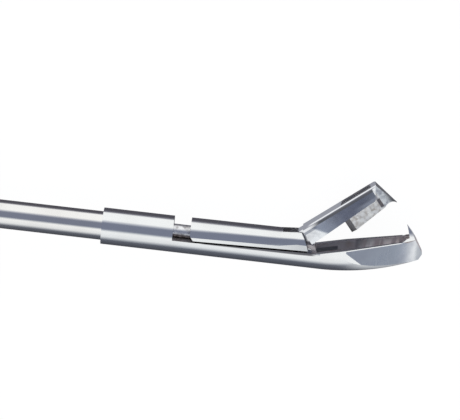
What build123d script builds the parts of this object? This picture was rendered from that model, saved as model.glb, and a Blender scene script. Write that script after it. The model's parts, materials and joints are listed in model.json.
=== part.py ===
from build123d import *
import math
import os

os.makedirs("parts", exist_ok=True)

# Cervical biopsy forceps, lying on its side as on a tray.
# X runs along the shaft to the tip, Y is the way the upper jaw opens,
# Z is up. All sizes in millimetres.

# Shaft
shaft_height = 3.7
sleeve_rear_x = 152.0
tube_radius = 2.5
tube_wall = 0.45
tube_rear_x = 4.0
tube_insert = 7.0
sleeve_radius = 3.175
sleeve_length = 12.31
bush_length = 3.0

# Drive rod
rod_radius = 1.325
rod_offset = 0.5
rod_running_gap = 0.06
rod_groove_gap = 0.15

# Rail of the lower body and its seam to the slider, measured from the sleeve's rear end
rail_rear_height = -0.16
rail_front_position = 35.8
rail_front_height = 0.41
seam_gap = 0.3
slot_neck_half = 0.85
slot_head_half = 1.55
slot_head_top = -0.82
slot_head_floor = -1.75
slot_start = 17.5
slot_end = 32.8
tongue_gap = 0.15

# Slider
slider_rear = 15.3
slider_rear_radius = 3.2
slider_mid_position = 30.8
slider_mid_radius = 3.32
slider_flare_position = 33.8
slider_flare_radius = 3.55
slider_side_half = 3.12
slider_chamfer_length = 0.62
slider_chamfer_height = 0.85
slider_front_bottom = 35.8
slider_front_top = 33.75
slider_front_rise = 0.22
heel_slot_start = 31.2
heel_slot_half = 1.2
ear_relief_start = 33.2
ear_relief_half = 2.28
ear_relief_top = 1.8
tongue_start = 20.3
rod_socket_depth = 4.8
cross_pin_position = 17.6
cross_pin_height = 0.9
cross_pin_radius = 0.4
cross_pin_end = 1.9

# Jaw pivot and link
pivot_position = 36.0
pivot_height = 0.3
pivot_pin_radius = 0.6
pivot_running_gap = 0.04
link_position = 34.1
link_height = 2.1
link_pin_radius = 0.4
link_pin_end = 1.75
link_slot_half = 0.6
ear_radius = 1.28
ear_half = 2.1
ear_gap_half = 1.15
ear_gap_floor = -1.2
lug_radius = 1.1
lug_half = 1.05

# Lower jaw
bend_start = 38.0
bend_radius = 37.0
bend_angle = 34.0
trough_radius = 2.3
pocket_start = 37.35
pocket_end = 41.0
pocket_half = 2.0
pocket_floor = -1.7
rim_start = 37.2
rim_start_height = 0.32
rim_angle = 13.73
facet_start = 42.4
facet_end_advance = 0.14
facet_end_half = 1.98
nose_advance = 3.34
nose_half = 0.62
inner_facet_start = 43.0
inner_facet_setback = 0.76
inner_facet_half = 1.66
tooth_inner_radius = 17.56
tooth_tip_angle = 21.27
tooth_shoulder_advance = 1.05
tooth_shoulder_drop = 1.29
tooth_foot_advance = 3.28
tooth_foot_drop = 4.81
tooth_base_height = 3.9
tooth_base_half = 1.85
tooth_tip_half = 0.12
nose_corner_radius = 0.6
nose_under_advance = 2.34
nose_under_height = 0.2
tooth_waist_height = 4.95
tooth_waist_half = 0.8
rim_corner_radius = 1.3

# Upper jaw, measured along and square to its back, from the pivot
open_angle = 39.4
close_angle = 28.0
jaw_back = 3.7
jaw_half = 2.15
back_half = 1.8
back_chamfer = 0.35
wall_rear = 1.2
wall_rear_edge = 0.82
wall_mid = 8.9
wall_mid_edge = 1.31
wall_front_setback = 1.37
wall_front_edge = 1.68
back_front_setback = 1.32
corner_cut = 0.8
plate_thickness = 0.85
lug_front = 3.2
punch_half = 1.5
punch_wall = 0.45
punch_rear = 8.0
punch_rear_half = 0.75
punch_corner = 9.1
punch_rear_edge = -1.36
punch_tooth_length = 1.9
punch_front_edge = -0.36
punch_running_gap = 0.24
punch_tooth_edge = -1.1
scallop_setback = 0.72
scallop_edge = -0.32
punch_nose_half = 0.22
window_half = 0.6
window_start = 8.9
window_setback = 1.0

# Working planes
side_plane = Plane(origin=(sleeve_rear_x, 0, shaft_height), x_dir=(1, 0, 0), z_dir=(0, 0, 1))
plan_plane = Plane(origin=(sleeve_rear_x, 0, shaft_height), x_dir=(1, 0, 0), z_dir=(0, -1, 0))
shaft_origin_plane = Plane(origin=(0, 0, shaft_height), x_dir=(1, 0, 0), z_dir=(0, 0, 1))
open_turn = math.radians(open_angle)
jaw_plane = Plane(
    origin=(sleeve_rear_x + pivot_position, pivot_height, shaft_height),
    x_dir=(math.cos(open_turn), math.sin(open_turn), 0),
    z_dir=(0, 0, 1),
)
jaw_plan_plane = Plane(
    origin=(sleeve_rear_x + pivot_position, pivot_height, shaft_height),
    x_dir=(math.cos(open_turn), math.sin(open_turn), 0),
    z_dir=(math.sin(open_turn), -math.cos(open_turn), 0),
)
jaw_end_plane = Plane(
    origin=(sleeve_rear_x + pivot_position, pivot_height, shaft_height),
    x_dir=(-math.sin(open_turn), math.cos(open_turn), 0),
    z_dir=(math.cos(open_turn), math.sin(open_turn), 0),
)


def cross_plane(x):
    return Plane(origin=(x, 0, shaft_height), x_dir=(0, 1, 0), z_dir=(1, 0, 0))


def tip_plane(position):
    return cross_plane(sleeve_rear_x + position)


# Depths that go right through the metal
clear = 4.0
far = 12.0

rail_slope = (rail_front_height - rail_rear_height) / (rail_front_position - slider_rear)
bottom_rear = rail_rear_height + seam_gap
bottom_front = rail_front_height + seam_gap
rim_rise = math.tan(math.radians(rim_angle))
tooth_tip_turn = math.radians(tooth_tip_angle)
tip_position = pivot_position + tooth_inner_radius * math.cos(tooth_tip_turn)
tip_height = pivot_height + tooth_inner_radius * math.sin(tooth_tip_turn)
tooth_shoulder_position = tip_position + tooth_shoulder_advance
tooth_shoulder_height = tip_height - tooth_shoulder_drop
tooth_foot_position = tip_position + tooth_foot_advance
tooth_foot_height = tip_height - tooth_foot_drop
nose_position = tip_position + nose_advance
nose_under_position = tip_position + nose_under_advance
facet_end = tip_position + facet_end_advance
inner_facet_end = tip_position - inner_facet_setback

# Point where the rim runs into the inner face of the front tooth
rim_offset = rim_start_height + (pivot_position - rim_start) * rim_rise - pivot_height
rim_turn = math.radians(rim_angle)
rim_reach = math.asin(rim_offset * math.cos(rim_turn) / tooth_inner_radius)
rim_end_turn = rim_turn + rim_reach
rim_end_position = pivot_position + tooth_inner_radius * math.cos(rim_end_turn)
rim_end_height = pivot_height + tooth_inner_radius * math.sin(rim_end_turn)
arc_mid_turn = (rim_end_turn + tooth_tip_turn) / 2
arc_mid_position = pivot_position + tooth_inner_radius * math.cos(arc_mid_turn)
arc_mid_height = pivot_height + tooth_inner_radius * math.sin(arc_mid_turn)

# Front end of the upper jaw, from the inner face of the tooth
punch_tooth = tooth_inner_radius - punch_running_gap
punch_front = punch_tooth - punch_tooth_length
scallop_position = punch_tooth - scallop_setback
back_front = punch_tooth - back_front_setback
wall_front = back_front - wall_front_setback
window_end = back_front - window_setback

# Hollow of the lower jaw that takes the punch
with BuildPart() as jaw_hollow:
    with BuildSketch(tip_plane(pocket_start)):
        Circle(trough_radius)
        with Locations((far / 2, 0)):
            Rectangle(far, 2 * trough_radius)
    extrude(amount=bend_start - pocket_start)
    with BuildSketch(tip_plane(bend_start)):
        Circle(trough_radius)
        with Locations((far / 2, 0)):
            Rectangle(far, 2 * trough_radius)
    revolve(
        axis=Axis((sleeve_rear_x + bend_start, bend_radius, shaft_height), (0, 0, 1)),
        revolution_arc=bend_angle,
    )
    with BuildSketch(side_plane):
        with Locations(((pocket_start + pocket_end) / 2, pocket_floor + clear / 2)):
            Rectangle(pocket_end - pocket_start, clear)
    extrude(amount=pocket_half, both=True)
    with BuildSketch(plan_plane):
        with BuildLine():
            Polyline(
                (slider_rear, -clear),
                (pocket_start, -clear),
                (inner_facet_start, -trough_radius),
                (inner_facet_end, -inner_facet_half),
                (nose_position, -tooth_tip_half),
                (nose_position, tooth_tip_half),
                (inner_facet_end, inner_facet_half),
                (inner_facet_start, trough_radius),
                (pocket_start, clear),
                (slider_rear, clear),
                close=True,
            )
        make_face()
    extrude(amount=2 * far, both=True, mode=Mode.INTERSECT)
    with BuildSketch(side_plane):
        with Locations((pivot_position, pivot_height)):
            Circle(tooth_inner_radius)
    extrude(amount=far, both=True, mode=Mode.INTERSECT)

# Sleeve, rail, hinge ears and lower jaw, machined in one piece
with BuildPart() as lower_jaw_body:
    with BuildSketch(tip_plane(0)):
        Circle(sleeve_radius)
    extrude(amount=bend_start)
    with BuildSketch(tip_plane(bend_start)):
        Circle(sleeve_radius)
        with Locations((far / 2, 0)):
            Rectangle(far, 2 * sleeve_radius)
    revolve(
        axis=Axis((sleeve_rear_x + bend_start, bend_radius, shaft_height), (0, 0, 1)),
        revolution_arc=bend_angle,
    )
    # side outline: notch, rail, rim and front tooth
    with BuildSketch(side_plane) as body_side:
        with BuildLine():
            Polyline(
                (tip_position, tip_height),
                (tooth_shoulder_position, tooth_shoulder_height),
                (tooth_foot_position, tooth_foot_height),
                (nose_under_position, nose_under_height),
                (nose_under_position, -far),
                (-clear, -far),
                (-clear, clear),
                (sleeve_length, clear),
                (sleeve_length, rail_rear_height),
                (slider_rear, rail_rear_height),
                (rail_front_position, rail_front_height),
                (rim_start, rim_start_height),
                (rim_end_position, rim_end_height),
            )
            ThreePointArc(
                (rim_end_position, rim_end_height),
                (arc_mid_position, arc_mid_height),
                (tip_position, tip_height),
            )
        make_face()
        rim_corner = body_side.vertices().sort_by_distance((rim_end_position, rim_end_height))[0]
        fillet(rim_corner, rim_corner_radius)
        nose_corner = body_side.vertices().sort_by_distance((tooth_foot_position, tooth_foot_height))[0]
        fillet(nose_corner, nose_corner_radius)
    extrude(amount=far, both=True, mode=Mode.INTERSECT)
    # ground facets on both sides and the prow
    with BuildSketch(plan_plane):
        with BuildLine():
            Polyline(
                (-clear, -clear),
                (facet_start, -clear),
                (facet_start, -sleeve_radius),
                (facet_end, -facet_end_half),
                (nose_position, -nose_half),
                (nose_position, nose_half),
                (facet_end, facet_end_half),
                (facet_start, sleeve_radius),
                (facet_start, clear),
                (-clear, clear),
                close=True,
            )
        make_face()
    extrude(amount=far, both=True, mode=Mode.INTERSECT)
    # the tooth tapers to its tip
    with BuildSketch(tip_plane(-clear)):
        with BuildLine():
            Polyline(
                (tooth_base_height, tooth_base_half),
                (tooth_base_height, clear),
                (-clear, clear),
                (-clear, -clear),
                (tooth_base_height, -clear),
                (tooth_base_height, -tooth_base_half),
            )
            ThreePointArc(
                (tooth_base_height, -tooth_base_half),
                (tooth_waist_height, -tooth_waist_half),
                (tip_height, -tooth_tip_half),
            )
            Line((tip_height, -tooth_tip_half), (tip_height, tooth_tip_half))
            ThreePointArc(
                (tip_height, tooth_tip_half),
                (tooth_waist_height, tooth_waist_half),
                (tooth_base_height, tooth_base_half),
            )
        make_face()
    extrude(amount=nose_position + 2 * clear, mode=Mode.INTERSECT)
    # hollow
    add(jaw_hollow.part, mode=Mode.SUBTRACT)
    # bore for the tube and the guide bush
    with BuildSketch(tip_plane(0)):
        Circle(tube_radius)
    extrude(amount=tube_insert + bush_length, mode=Mode.SUBTRACT)
    # passage and groove of the rod
    with BuildSketch(tip_plane(tube_insert)):
        with Locations((rod_offset, 0)):
            Circle(rod_radius + rod_groove_gap)
    extrude(amount=slot_start - tube_insert + clear, mode=Mode.SUBTRACT)
    # T-slot of the slider's tongue
    with BuildSketch(tip_plane(slot_start)):
        with Locations(((clear + slot_head_floor) / 2, 0)):
            Rectangle(clear - slot_head_floor, 2 * slot_neck_half)
        with Locations(((slot_head_top + slot_head_floor) / 2, 0)):
            Rectangle(slot_head_top - slot_head_floor, 2 * slot_head_half)
    extrude(amount=slot_end - slot_start, mode=Mode.SUBTRACT)
    # hinge ears, rounded about the pivot
    with BuildSketch(side_plane):
        with Locations((pivot_position, pivot_height)):
            Circle(ear_radius)
        with Locations((pivot_position, pivot_height - ear_radius / 2)):
            Rectangle(2 * ear_radius, ear_radius)
    extrude(amount=ear_half, both=True)
    # gap between the ears
    with BuildSketch(side_plane):
        with Locations(((slot_end + pocket_start + ear_radius) / 2, (ear_gap_floor + clear) / 2)):
            Rectangle(pocket_start + ear_radius - slot_end, clear - ear_gap_floor)
    extrude(amount=ear_gap_half, both=True, mode=Mode.SUBTRACT)
    # pin hole
    with BuildSketch(side_plane):
        with Locations((pivot_position, pivot_height)):
            Circle(pivot_pin_radius)
    extrude(amount=ear_half, both=True, mode=Mode.SUBTRACT)

lower_jaw_body.part.label = "lower_jaw_body"
export_step(lower_jaw_body.part, "parts/lower_jaw_body.step")

# Upper jaw: heel with a fork, channel-shaped back and hollow punch
link_turn = math.atan2(link_height - pivot_height, link_position - pivot_position) - open_turn
closed_turn = open_turn + link_turn - math.radians(close_angle)
closed_reach = (link_height - pivot_height) / math.sin(closed_turn)
fork_bottom = closed_reach
heel_front_top = 0.3
heel_rear_top = -0.92
heel_rear_height = 3.42
heel_back = -1.45
heel_back_top = 3.05
heel_back_low = 1.2

with BuildPart() as punch_hollow:
    with BuildSketch(jaw_plane):
        with BuildLine():
            Polyline(
                (punch_rear + punch_wall, -clear),
                (punch_rear + punch_wall, jaw_back - plate_thickness),
                (back_front - plate_thickness, jaw_back - plate_thickness),
                (punch_tooth - punch_wall, punch_tooth_edge),
                (punch_tooth, -clear),
                close=True,
            )
        make_face()
    extrude(amount=lug_half, both=True)
    with BuildSketch(jaw_plan_plane):
        with BuildLine():
            Polyline(
                (punch_rear, -punch_rear_half + punch_wall / 2),
                (punch_corner, -lug_half),
                (punch_front - punch_wall, -lug_half),
                (punch_tooth - punch_wall / 2, -punch_nose_half / 2),
                (punch_tooth - punch_wall / 2, punch_nose_half / 2),
                (punch_front - punch_wall, lug_half),
                (punch_corner, lug_half),
                (punch_rear, punch_rear_half - punch_wall / 2),
                close=True,
            )
        make_face()
    extrude(amount=far, both=True, mode=Mode.INTERSECT)

with BuildPart() as punch:
    with BuildSketch(jaw_plane):
        with BuildLine():
            Polyline(
                (punch_front, punch_front_edge),
                (punch_rear, punch_rear_edge),
                (punch_rear, jaw_back - plate_thickness / 2),
                (back_front - corner_cut, jaw_back),
                (back_front, jaw_back),
                (punch_tooth, punch_tooth_edge),
            )
            ThreePointArc(
                (punch_tooth, punch_tooth_edge),
                (scallop_position, scallop_edge),
                (punch_front, punch_front_edge),
            )
        make_face()
    extrude(amount=punch_half, both=True)
    with BuildSketch(jaw_plan_plane):
        with BuildLine():
            Polyline(
                (punch_rear, -punch_rear_half),
                (punch_corner, -punch_half),
                (punch_front, -punch_half),
                (punch_tooth, -punch_nose_half),
                (punch_tooth, punch_nose_half),
                (punch_front, punch_half),
                (punch_corner, punch_half),
                (punch_rear, punch_rear_half),
                close=True,
            )
        make_face()
    extrude(amount=far, both=True, mode=Mode.INTERSECT)

with BuildPart() as upper_jaw:
    # back plate with both side walls
    with BuildSketch(jaw_plane):
        with BuildLine():
            Polyline(
                (wall_rear, wall_rear_edge),
                (wall_mid, wall_mid_edge),
                (wall_front, wall_front_edge),
                (back_front, jaw_back),
                (wall_rear, jaw_back),
                close=True,
            )
        make_face()
    extrude(amount=jaw_half, both=True)
    with BuildSketch(jaw_end_plane):
        with BuildLine():
            Polyline(
                (-clear, -jaw_half),
                (jaw_back - back_chamfer, -jaw_half),
                (jaw_back, -back_half),
                (jaw_back, back_half),
                (jaw_back - back_chamfer, jaw_half),
                (-clear, jaw_half),
                close=True,
            )
        make_face()
    extrude(amount=2 * far, mode=Mode.INTERSECT)
    with BuildSketch(jaw_plan_plane):
        with BuildLine():
            Polyline(
                (0, -jaw_half),
                (back_front - corner_cut, -jaw_half),
                (back_front, -jaw_half + corner_cut),
                (back_front, jaw_half - corner_cut),
                (back_front - corner_cut, jaw_half),
                (0, jaw_half),
                close=True,
            )
        make_face()
    extrude(amount=far, both=True, mode=Mode.INTERSECT)
    # channel between the walls
    with BuildSketch(jaw_plane):
        with BuildLine():
            Polyline(
                (lug_front, -clear),
                (lug_front, jaw_back - plate_thickness),
                (punch_rear, jaw_back - plate_thickness),
                (punch_rear, -clear),
                close=True,
            )
        make_face()
    extrude(amount=lug_half, both=True, mode=Mode.SUBTRACT)
    # hinge lug and heel
    with BuildSketch(jaw_plane):
        Circle(lug_radius)
        with BuildLine():
            Polyline(
                (lug_radius, 0),
                (lug_front, wall_rear_edge + lug_radius),
                (lug_front, jaw_back),
                (heel_front_top, jaw_back),
                (heel_rear_top, heel_rear_height),
                (heel_back, heel_back_top),
                (heel_back, heel_back_low),
                (-lug_radius, 0),
                close=True,
            )
        make_face()
    extrude(amount=lug_half, both=True)
    add(punch.part)
    add(punch_hollow.part, mode=Mode.SUBTRACT)
    # fork that rides on the link pin
    with BuildSketch(jaw_plane):
        with Locations((fork_bottom * math.cos(link_turn), fork_bottom * math.sin(link_turn))):
            Circle(link_slot_half)
        with Locations(
            Location(
                (
                    (fork_bottom + clear / 2) * math.cos(link_turn),
                    (fork_bottom + clear / 2) * math.sin(link_turn),
                ),
                math.degrees(link_turn),
            )
        ):
            Rectangle(clear, 2 * link_slot_half)
    extrude(amount=jaw_half, both=True, mode=Mode.SUBTRACT)
    # pin hole
    with BuildSketch(jaw_plane):
        Circle(pivot_pin_radius + pivot_running_gap)
    extrude(amount=jaw_half, both=True, mode=Mode.SUBTRACT)
    # window in the back
    with BuildSketch(jaw_plane):
        with Locations(((window_start + window_end) / 2, jaw_back)):
            Rectangle(window_end - window_start, 2 * plate_thickness + clear)
    extrude(amount=window_half, both=True, mode=Mode.SUBTRACT)

upper_jaw.part.label = "upper_jaw"
export_step(upper_jaw.part, "parts/upper_jaw.step")

# Pivot pin of the jaw, riveted flush with the ears
with BuildPart() as jaw_pivot_pin:
    with BuildSketch(side_plane):
        with Locations((pivot_position, pivot_height)):
            Circle(pivot_pin_radius)
    extrude(amount=ear_half, both=True)

jaw_pivot_pin.part.label = "jaw_pivot_pin"
export_step(jaw_pivot_pin.part, "parts/jaw_pivot_pin.step")

# Slider on the rail
with BuildPart() as slider:
    with BuildSketch(side_plane):
        with BuildLine():
            Polyline(
                (slider_rear, 0),
                (slider_rear, slider_rear_radius),
                (slider_mid_position, slider_mid_radius),
                (slider_flare_position, slider_flare_radius),
                (pivot_position, slider_flare_radius),
                (pivot_position, 0),
                close=True,
            )
        make_face()
    revolve(axis=Axis((0, 0, shaft_height), (1, 0, 0)))
    # flats along both lower sides
    with BuildSketch(plan_plane):
        with Locations(((slider_rear + pivot_position) / 2, 0)):
            Rectangle(pivot_position - slider_rear, 2 * slider_side_half)
    extrude(amount=clear, both=True, mode=Mode.INTERSECT)
    # side outline
    with BuildSketch(side_plane):
        with BuildLine():
            Polyline(
                (slider_front_top, clear),
                (slider_rear, clear),
                (slider_rear, bottom_rear + slider_chamfer_height),
                (slider_rear + slider_chamfer_length, bottom_rear + rail_slope * slider_chamfer_length),
                (slider_front_bottom, bottom_front),
            )
            ThreePointArc(
                (slider_front_bottom, bottom_front),
                (
                    (slider_front_bottom + slider_front_top) / 2 + slider_front_rise,
                    (bottom_front + clear) / 2 + slider_front_rise,
                ),
                (slider_front_top, clear),
            )
        make_face()
    extrude(amount=clear, both=True, mode=Mode.INTERSECT)
    # T-shaped tongue
    with BuildSketch(tip_plane(tongue_start)):
        with Locations(((slot_head_floor + tongue_gap + bottom_front) / 2, 0)):
            Rectangle(bottom_front - slot_head_floor - tongue_gap, 2 * (slot_neck_half - tongue_gap))
        with Locations(((slot_head_top + slot_head_floor) / 2, 0)):
            Rectangle(
                slot_head_top - slot_head_floor - 2 * tongue_gap,
                2 * (slot_head_half - tongue_gap),
            )
    extrude(amount=heel_slot_start - tongue_start)
    # socket of the rod
    with BuildSketch(tip_plane(slider_rear)):
        with Locations((rod_offset, 0)):
            Circle(rod_radius)
    extrude(amount=rod_socket_depth, mode=Mode.SUBTRACT)
    # slot for the heel of the upper jaw
    with BuildSketch(side_plane):
        with Locations(((heel_slot_start + pivot_position) / 2, 0)):
            Rectangle(pivot_position - heel_slot_start, 2 * clear)
    extrude(amount=heel_slot_half, both=True, mode=Mode.SUBTRACT)
    # relief over the ears
    with BuildSketch(side_plane):
        with Locations(((ear_relief_start + pivot_position) / 2, ear_relief_top - clear)):
            Rectangle(pivot_position - ear_relief_start, 2 * clear)
    extrude(amount=ear_relief_half, both=True, mode=Mode.SUBTRACT)
    # holes of the link pin and the cross pin, blind on one side
    with BuildSketch(side_plane.offset(link_pin_end)):
        with Locations((link_position, link_height)):
            Circle(link_pin_radius)
    extrude(amount=-link_pin_end - clear, mode=Mode.SUBTRACT)
    with BuildSketch(side_plane.offset(cross_pin_end)):
        with Locations((cross_pin_position, cross_pin_height)):
            Circle(cross_pin_radius)
    extrude(amount=-cross_pin_end - clear, mode=Mode.SUBTRACT)

slider.part.label = "slider"
export_step(slider.part, "parts/slider.step")


def pin_half(surface_radius, height, radius):
    reach = height + radius
    return math.sqrt(surface_radius ** 2 - reach ** 2)


# Link pin between slider and heel
with BuildPart() as slider_link_pin:
    with BuildSketch(side_plane.offset(link_pin_end)):
        with Locations((link_position, link_height)):
            Circle(link_pin_radius)
    extrude(amount=-link_pin_end - pin_half(slider_flare_radius, link_height, link_pin_radius))

slider_link_pin.part.label = "slider_link_pin"
export_step(slider_link_pin.part, "parts/slider_link_pin.step")

# Cross pin between slider and rod
with BuildPart() as rod_cross_pin:
    with BuildSketch(side_plane.offset(cross_pin_end)):
        with Locations((cross_pin_position, cross_pin_height)):
            Circle(cross_pin_radius)
    extrude(amount=-cross_pin_end - pin_half(slider_rear_radius, cross_pin_height, cross_pin_radius))

rod_cross_pin.part.label = "rod_cross_pin"
export_step(rod_cross_pin.part, "parts/rod_cross_pin.step")

# Handle, measured from the foot of the block under the shaft
handle_half = 3.7
slot_half = 2.3
lever_half = 2.0
washer_gap = 0.05
head_rear = -18.0
head_front = 8.0
head_top = 6.5
head_bottom = -22.0
head_front_low = -5.5
head_spine = -9.6
head_corner = 2.5
spine_overlap = 1.1
cheek_bottom = -9.0
cheek_front = 3.2
cavity_rear = -11.5
cavity_front = 3.5
cavity_top = 4.4
lever_arm = 9.0
squeeze_angle = 8.3
drive_pin_x = -4.5
drive_pin_radius = 1.0
drive_pin_gap = 0.1
lever_boss = 4.6
screw_shank_radius = 1.6
screw_head_radius = 2.7
screw_head_height = 1.1
pivot_gap = 0.05
washer_radius = 3.6
tongue_half = 0.8
tongue_boss = 1.85
tongue_width = 3.2
fork_gap = 0.12

# Rings and shanks
ring_inner = 11.0
ring_band = 3.6
thumb_ring_x = -34.0
thumb_ring_y = -58.0
finger_ring_x = 20.0
finger_ring_y = -60.0
ring_edge = 1.2
shank_top_half = 4.0
shank_bottom_half = 3.1
lever_top_half = 4.0
lever_thick_start = 20.0

# Stop screw, set screw and rod end
stop_y = -15.4
stop_radius = 1.25
stop_reach = -6.45
stop_rear = -21.6
stop_nut_flats = 5.0
stop_nut_thickness = 2.0
set_screw_x = 6.0
set_screw_radius = 1.0
set_screw_recess = 0.15
rod_rear_x = -2.3
end_block_rear = -7.4
end_block_front = 0.2
end_block_top = 3.0
end_block_bottom = -1.9
end_block_half = 2.1
lock_nut_flats = 4.0
lock_nut_thickness = 1.4
socket_length = 14.0
socket_radius = 3.6
socket_front_radius = 2.9
socket_neck = 6.0

# Leaf springs
leaf_thickness = 0.7
leaf_half = 2.2
leaf_foot_length = 8.0
thumb_foot_low = 25.5
lever_foot_low = 37.5
leaf_radius = 21.0
leaf_meet_x = -6.3342
leaf_tip_gap = 0.8145
leaf_screw_place = 3.5
leaf_screw_head_radius = 1.7
leaf_screw_head_height = 0.9
leaf_screw_radius = 1.0
leaf_screw_depth = 3.0

pivot_tilt = math.radians(squeeze_angle / 2)
lever_pivot_x = drive_pin_x + lever_arm * math.sin(pivot_tilt)
lever_pivot_y = rod_offset - lever_arm * math.cos(pivot_tilt)
set_screw_plane = Plane(
    origin=(set_screw_x, head_top - set_screw_recess, shaft_height),
    x_dir=(1, 0, 0),
    z_dir=(0, -1, 0),
)


def shank_plane(start_x, start_y, end_x, end_y):
    length = math.hypot(end_x - start_x, end_y - start_y)
    along = ((end_x - start_x) / length, (end_y - start_y) / length, 0)
    return Plane(origin=(start_x, start_y, shaft_height), x_dir=along, z_dir=(0, 0, 1))


head_root_x = (head_rear + head_spine) / 2
head_root_y = head_bottom + ring_edge + spine_overlap
thumb_shank_plane = shank_plane(head_root_x, head_root_y, thumb_ring_x, thumb_ring_y)
thumb_shank_length = math.hypot(thumb_ring_x - head_root_x, thumb_ring_y - head_root_y)
lever_shank_plane = shank_plane(lever_pivot_x, lever_pivot_y, finger_ring_x, finger_ring_y)
lever_shank_length = math.hypot(finger_ring_x - lever_pivot_x, finger_ring_y - lever_pivot_y)


# Section of a ring: a band with bevelled corners
def ring_band_outline():
    with BuildSketch() as outline:
        Rectangle(ring_band, 2 * handle_half)
        chamfer(outline.vertices(), ring_edge)
    return outline.sketch


# Upright plane through the middle of a ring
def ring_plane(x, y):
    return Plane(origin=(x, y, shaft_height), x_dir=(1, 0, 0), z_dir=(0, -1, 0))


# Fixed handle with the head block and the thumb ring
with BuildPart() as fixed_handle:
    with BuildSketch(shaft_origin_plane) as head_outline:
        with BuildLine():
            Polyline(
                (head_rear, head_top),
                (head_front, head_top),
                (head_front, head_front_low),
                (cheek_front, cheek_bottom - lever_boss),
                (head_spine, cheek_bottom - lever_boss),
                (head_spine, head_bottom),
                (head_rear, head_bottom),
                close=True,
            )
        make_face()
        fillet(head_outline.vertices().filter_by(lambda v: v.Y > cheek_bottom), head_corner)
    extrude(amount=handle_half, both=True)
    # shank
    with BuildSketch(thumb_shank_plane):
        with BuildLine():
            Polyline(
                (0, -shank_top_half),
                (thumb_shank_length - ring_inner - ring_band / 2, -shank_bottom_half),
                (thumb_shank_length - ring_inner - ring_band / 2, shank_bottom_half),
                (0, shank_top_half),
                close=True,
            )
        make_face()
    extrude(amount=handle_half, both=True)
    # thumb ring
    with BuildSketch(ring_plane(thumb_ring_x, thumb_ring_y)):
        with Locations((ring_inner + ring_band / 2, 0)):
            add(ring_band_outline())
    revolve(axis=Axis((thumb_ring_x, thumb_ring_y, shaft_height), (0, 0, 1)))
    # room for lever and rod end
    with BuildSketch(shaft_origin_plane):
        with Locations(((cavity_rear + cavity_front) / 2, cavity_top - far)):
            Rectangle(cavity_front - cavity_rear, 2 * far)
        with Locations((cavity_front, cheek_bottom - lever_boss)):
            Rectangle(far, 2 * lever_boss)
    extrude(amount=slot_half, both=True, mode=Mode.SUBTRACT)
    # room for the ring side of the lever below the cheeks
    with BuildSketch(shaft_origin_plane):
        with Locations(((head_spine + cheek_front) / 2, cheek_bottom - 2 * lever_boss)):
            Rectangle(cheek_front - head_spine, 2 * lever_boss - clear)
    extrude(amount=handle_half, both=True, mode=Mode.SUBTRACT)
    # bore of the tube
    with BuildSketch(cross_plane(tube_rear_x)):
        Circle(tube_radius)
    extrude(amount=head_front - tube_rear_x, mode=Mode.SUBTRACT)
    # passage of the rod in front of the cavity
    with BuildSketch(cross_plane(cavity_front)):
        with Locations((rod_offset, 0)):
            Circle(rod_radius + rod_groove_gap)
    extrude(amount=tube_rear_x - cavity_front, mode=Mode.SUBTRACT)
    # pivot screw with its countersunk seat
    with BuildSketch(shaft_origin_plane):
        with Locations((lever_pivot_x, lever_pivot_y)):
            Circle(screw_shank_radius)
    extrude(amount=handle_half, both=True, mode=Mode.SUBTRACT)
    with BuildSketch(shaft_origin_plane.offset(handle_half - screw_head_height)):
        with Locations((lever_pivot_x, lever_pivot_y)):
            Circle(screw_head_radius)
    extrude(amount=screw_head_height, mode=Mode.SUBTRACT)
    # tapped holes of stop screw, set screw and leaf screw
    with BuildSketch(cross_plane(head_rear)):
        with Locations((stop_y, 0)):
            Circle(stop_radius)
    extrude(amount=head_spine - head_rear, mode=Mode.SUBTRACT)
    with BuildSketch(set_screw_plane.offset(-set_screw_recess)):
        Circle(set_screw_radius)
    extrude(amount=head_top - tube_radius + tube_wall, mode=Mode.SUBTRACT)

with BuildPart() as lever_handle:
    # boss about the pivot and shank to the ring
    with BuildSketch(lever_shank_plane):
        Circle(lever_boss)
        with BuildLine():
            Polyline(
                (0, -lever_top_half),
                (lever_shank_length - ring_inner - ring_band / 2, -shank_bottom_half),
                (lever_shank_length - ring_inner - ring_band / 2, shank_bottom_half),
                (0, lever_top_half),
                close=True,
            )
        make_face()
    extrude(amount=lever_half, both=True)
    # thicker lower part of the shank
    with BuildSketch(lever_shank_plane):
        with BuildLine():
            Polyline(
                (lever_thick_start, -shank_bottom_half),
                (lever_shank_length - ring_inner - ring_band / 2, -shank_bottom_half),
                (lever_shank_length - ring_inner - ring_band / 2, shank_bottom_half),
                (lever_thick_start, shank_bottom_half),
                close=True,
            )
        make_face()
    extrude(amount=handle_half - ring_edge / 2, both=True)
    # finger ring
    with BuildSketch(ring_plane(finger_ring_x, finger_ring_y)):
        with Locations((ring_inner + ring_band / 2, 0)):
            add(ring_band_outline())
    revolve(axis=Axis((finger_ring_x, finger_ring_y, shaft_height), (0, 0, 1)))
    # tongue up to the drive pin
    with BuildSketch(shaft_origin_plane):
        with Locations((drive_pin_x, rod_offset)):
            Circle(tongue_boss)
        with BuildLine():
            Polyline(
                (drive_pin_x - tongue_width / 2, rod_offset),
                (drive_pin_x + tongue_width / 2, rod_offset),
                (lever_pivot_x + tongue_width / 2, lever_pivot_y),
                (lever_pivot_x - tongue_width / 2, lever_pivot_y),
                close=True,
            )
        make_face()
    extrude(amount=tongue_half, both=True)
    # holes for drive pin and pivot screw
    with BuildSketch(shaft_origin_plane):
        with Locations((drive_pin_x, rod_offset)):
            Circle(drive_pin_radius + drive_pin_gap)
        with Locations((lever_pivot_x, lever_pivot_y)):
            Circle(screw_shank_radius + pivot_gap)
    extrude(amount=handle_half, both=True, mode=Mode.SUBTRACT)

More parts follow.
